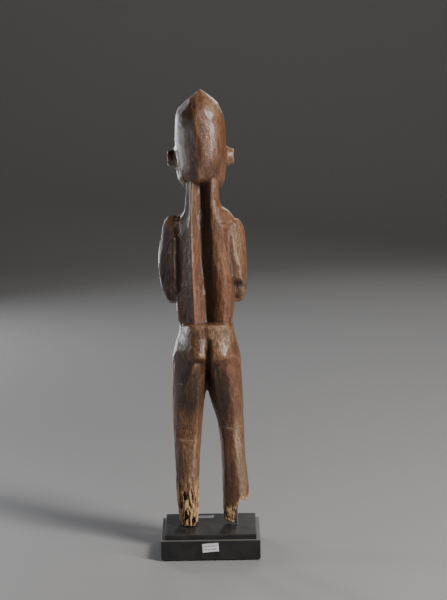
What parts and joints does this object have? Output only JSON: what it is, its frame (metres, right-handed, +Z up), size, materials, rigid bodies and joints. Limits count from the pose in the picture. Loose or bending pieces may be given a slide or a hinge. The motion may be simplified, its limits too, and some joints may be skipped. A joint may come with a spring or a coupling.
{
  "type": "carved wooden ancestor figure on a stand",
  "caption": "Tall standing figure carved from one piece of dark wood, with broken lower legs, lifting off two steel rods in a two-tier black display stand.",
  "frame": {"origin": "on the face of the felt under the stand, below the figure's trunk, 3 mm from the felt's middle towards the figure's back", "axes": "+Z up along the figure, -Y the way the figure faces, +X the figure's left side"},
  "size_m": [0.1334, 0.1163, 0.6253],
  "materials": {
    "wood": "old waxed hardwood, dark red-brown, with fresh tan wood at the breaks",
    "stand_lacquer": "satin black lacquer on wood",
    "steel": "plain drawn steel, slightly dulled",
    "felt": "black pressed felt",
    "paper": "matte white paper sticker, blank"
  },
  "bodies": {
    "stand": {"plinth_lower": "stand_lacquer", "plinth_upper": "stand_lacquer", "felt_pad": "felt", "label_back": "paper", "label_top": "paper", "support_rod_left": "steel", "support_rod_right": "steel", "rod_nut_left": "steel", "rod_nut_right": "steel", "rod_washer_left": "steel", "rod_washer_right": "steel", "board_screw_fl": "steel", "board_screw_fr": "steel", "board_screw_bl": "steel", "board_screw_br": "steel"},
    "figure": {"carved_figure": "wood"}
  },
  "joints": [
    {"name": "figure_lift", "type": "slide", "parent": "stand", "child": "figure", "axis": [0, 0, 1], "range_m": [0, 0.08]}
  ]
}
